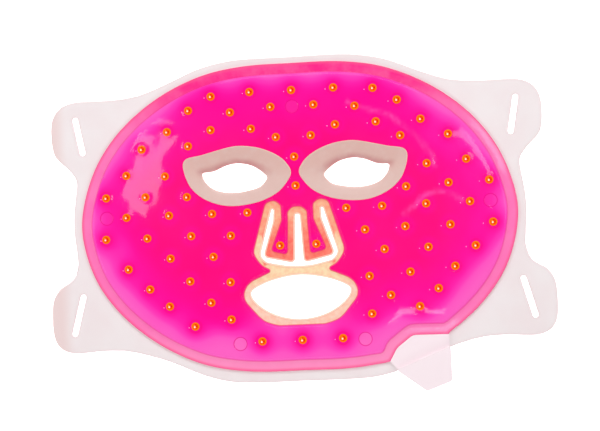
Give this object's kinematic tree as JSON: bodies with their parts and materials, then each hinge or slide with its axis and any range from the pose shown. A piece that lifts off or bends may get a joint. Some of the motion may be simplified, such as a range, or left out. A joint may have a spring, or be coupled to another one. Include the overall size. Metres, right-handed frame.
{
  "type": "led face mask",
  "caption": "Flexible face mask of white silicone with a lit clear skin over rows of LEDs, eye, nose and mouth openings, folding sides, four strap ears and a power socket boot.",
  "frame": {"origin": "the outer face at the nose bridge, with the mask lying flat", "axes": "+X to the wearer's right, +Y to the forehead, +Z from the outer face to the lit side that faces the skin"},
  "size_m": [0.325, 0.2172, 0.0054],
  "materials": {
    "white_silicone": "soft satin moulding",
    "clear_skin": "clear glossy moulding, lit from below",
    "eye_rim": "soft satin moulding",
    "flex_film": "polyimide film",
    "reflector_film": "glossy film",
    "led_strip": "lit LED packages on a narrow tape",
    "stud": "satin",
    "socket_steel": "satin",
    "socket_plastic": "matte",
    "contact_metal": "plated",
    "board": "satin solder mask",
    "component": "matte"
  },
  "bodies": {
    "middle": {"shell_middle": "white_silicone", "skin_middle": "clear_skin", "flex_circuit_middle": "flex_film", "reflector_middle": "reflector_film", "eye_rim_right": "eye_rim", "eye_rim_left": "eye_rim", "led_strip_forehead_upper": "led_strip", "led_strip_forehead_lower": "led_strip", "led_strip_bridge": "led_strip", "led_strip_chin": "led_strip", "led_strip_cheek_upper_right": "led_strip", "led_strip_cheek_lower_right": "led_strip", "led_strip_jaw_upper_right": "led_strip", "led_strip_jaw_lower_right": "led_strip", "led_strip_cheek_upper_left": "led_strip", "led_strip_cheek_lower_left": "led_strip", "led_strip_jaw_upper_left": "led_strip", "led_strip_jaw_lower_left": "led_strip", "locating_stud_forehead": "stud", "locating_stud_chin_right": "stud", "locating_stud_chin_left": "stud", "socket_boot": "white_silicone", "socket_can": "socket_steel", "socket_tongue": "socket_plastic", "socket_contacts_upper": "contact_metal", "socket_contacts_lower": "contact_metal", "socket_board": "board", "driver_chip": "component", "driver_coil": "component"},
    "wing_right": {"shell_wing_right": "white_silicone", "skin_wing_right": "clear_skin", "flex_circuit_wing_right": "flex_film", "reflector_wing_right": "reflector_film", "led_strip_wing_right": "led_strip", "locating_stud_wing_right": "stud"},
    "ear_upper_right": {"ear_upper_right": "white_silicone"},
    "ear_lower_right": {"ear_lower_right": "white_silicone"},
    "nose_flap_right": {"flap_shell_right": "white_silicone", "flap_skin_right": "clear_skin", "flap_led_right": "led_strip"},
    "wing_left": {"shell_wing_left": "white_silicone", "skin_wing_left": "clear_skin", "flex_circuit_wing_left": "flex_film", "reflector_wing_left": "reflector_film", "led_strip_wing_left": "led_strip", "locating_stud_wing_left": "stud"},
    "ear_upper_left": {"ear_upper_left": "white_silicone"},
    "ear_lower_left": {"ear_lower_left": "white_silicone"},
    "nose_flap_left": {"flap_shell_left": "white_silicone", "flap_skin_left": "clear_skin", "flap_led_left": "led_strip"}
  },
  "joints": [
    {"name": "wing_right_fold", "type": "hinge", "parent": "middle", "child": "wing_right", "pos_m": [0.1038, -0.025, 0.0054], "axis": [0, -1, 0], "range_deg": [0, 55]},
    {"name": "ear_upper_right_bend", "type": "hinge", "parent": "wing_right", "child": "ear_upper_right", "pos_m": [0.12995, 0.0255, 0.0016], "axis": [0.3867, -0.9222, 0], "range_deg": [0, 60]},
    {"name": "ear_lower_right_bend", "type": "hinge", "parent": "wing_right", "child": "ear_lower_right", "pos_m": [0.1315, -0.08255, 0.0016], "axis": [-0.4672, -0.8842, 0], "range_deg": [0, 60]},
    {"name": "nose_flap_right_bend", "type": "hinge", "parent": "middle", "child": "nose_flap_right", "pos_m": [0.00825, -0.029, 0], "axis": [1, 0, 0], "range_deg": [0, 50]},
    {"name": "wing_left_fold", "type": "hinge", "parent": "middle", "child": "wing_left", "pos_m": [-0.1038, -0.025, 0.0054], "axis": [0, 1, 0], "range_deg": [0, 55]},
    {"name": "ear_upper_left_bend", "type": "hinge", "parent": "wing_left", "child": "ear_upper_left", "pos_m": [-0.12995, 0.0255, 0.0016], "axis": [0.3867, 0.9222, 0], "range_deg": [0, 60]},
    {"name": "ear_lower_left_bend", "type": "hinge", "parent": "wing_left", "child": "ear_lower_left", "pos_m": [-0.1315, -0.08255, 0.0016], "axis": [-0.4672, 0.8842, 0], "range_deg": [0, 60]},
    {"name": "nose_flap_left_bend", "type": "hinge", "parent": "middle", "child": "nose_flap_left", "pos_m": [-0.00825, -0.029, 0], "axis": [1, 0, 0], "range_deg": [0, 50]}
  ]
}
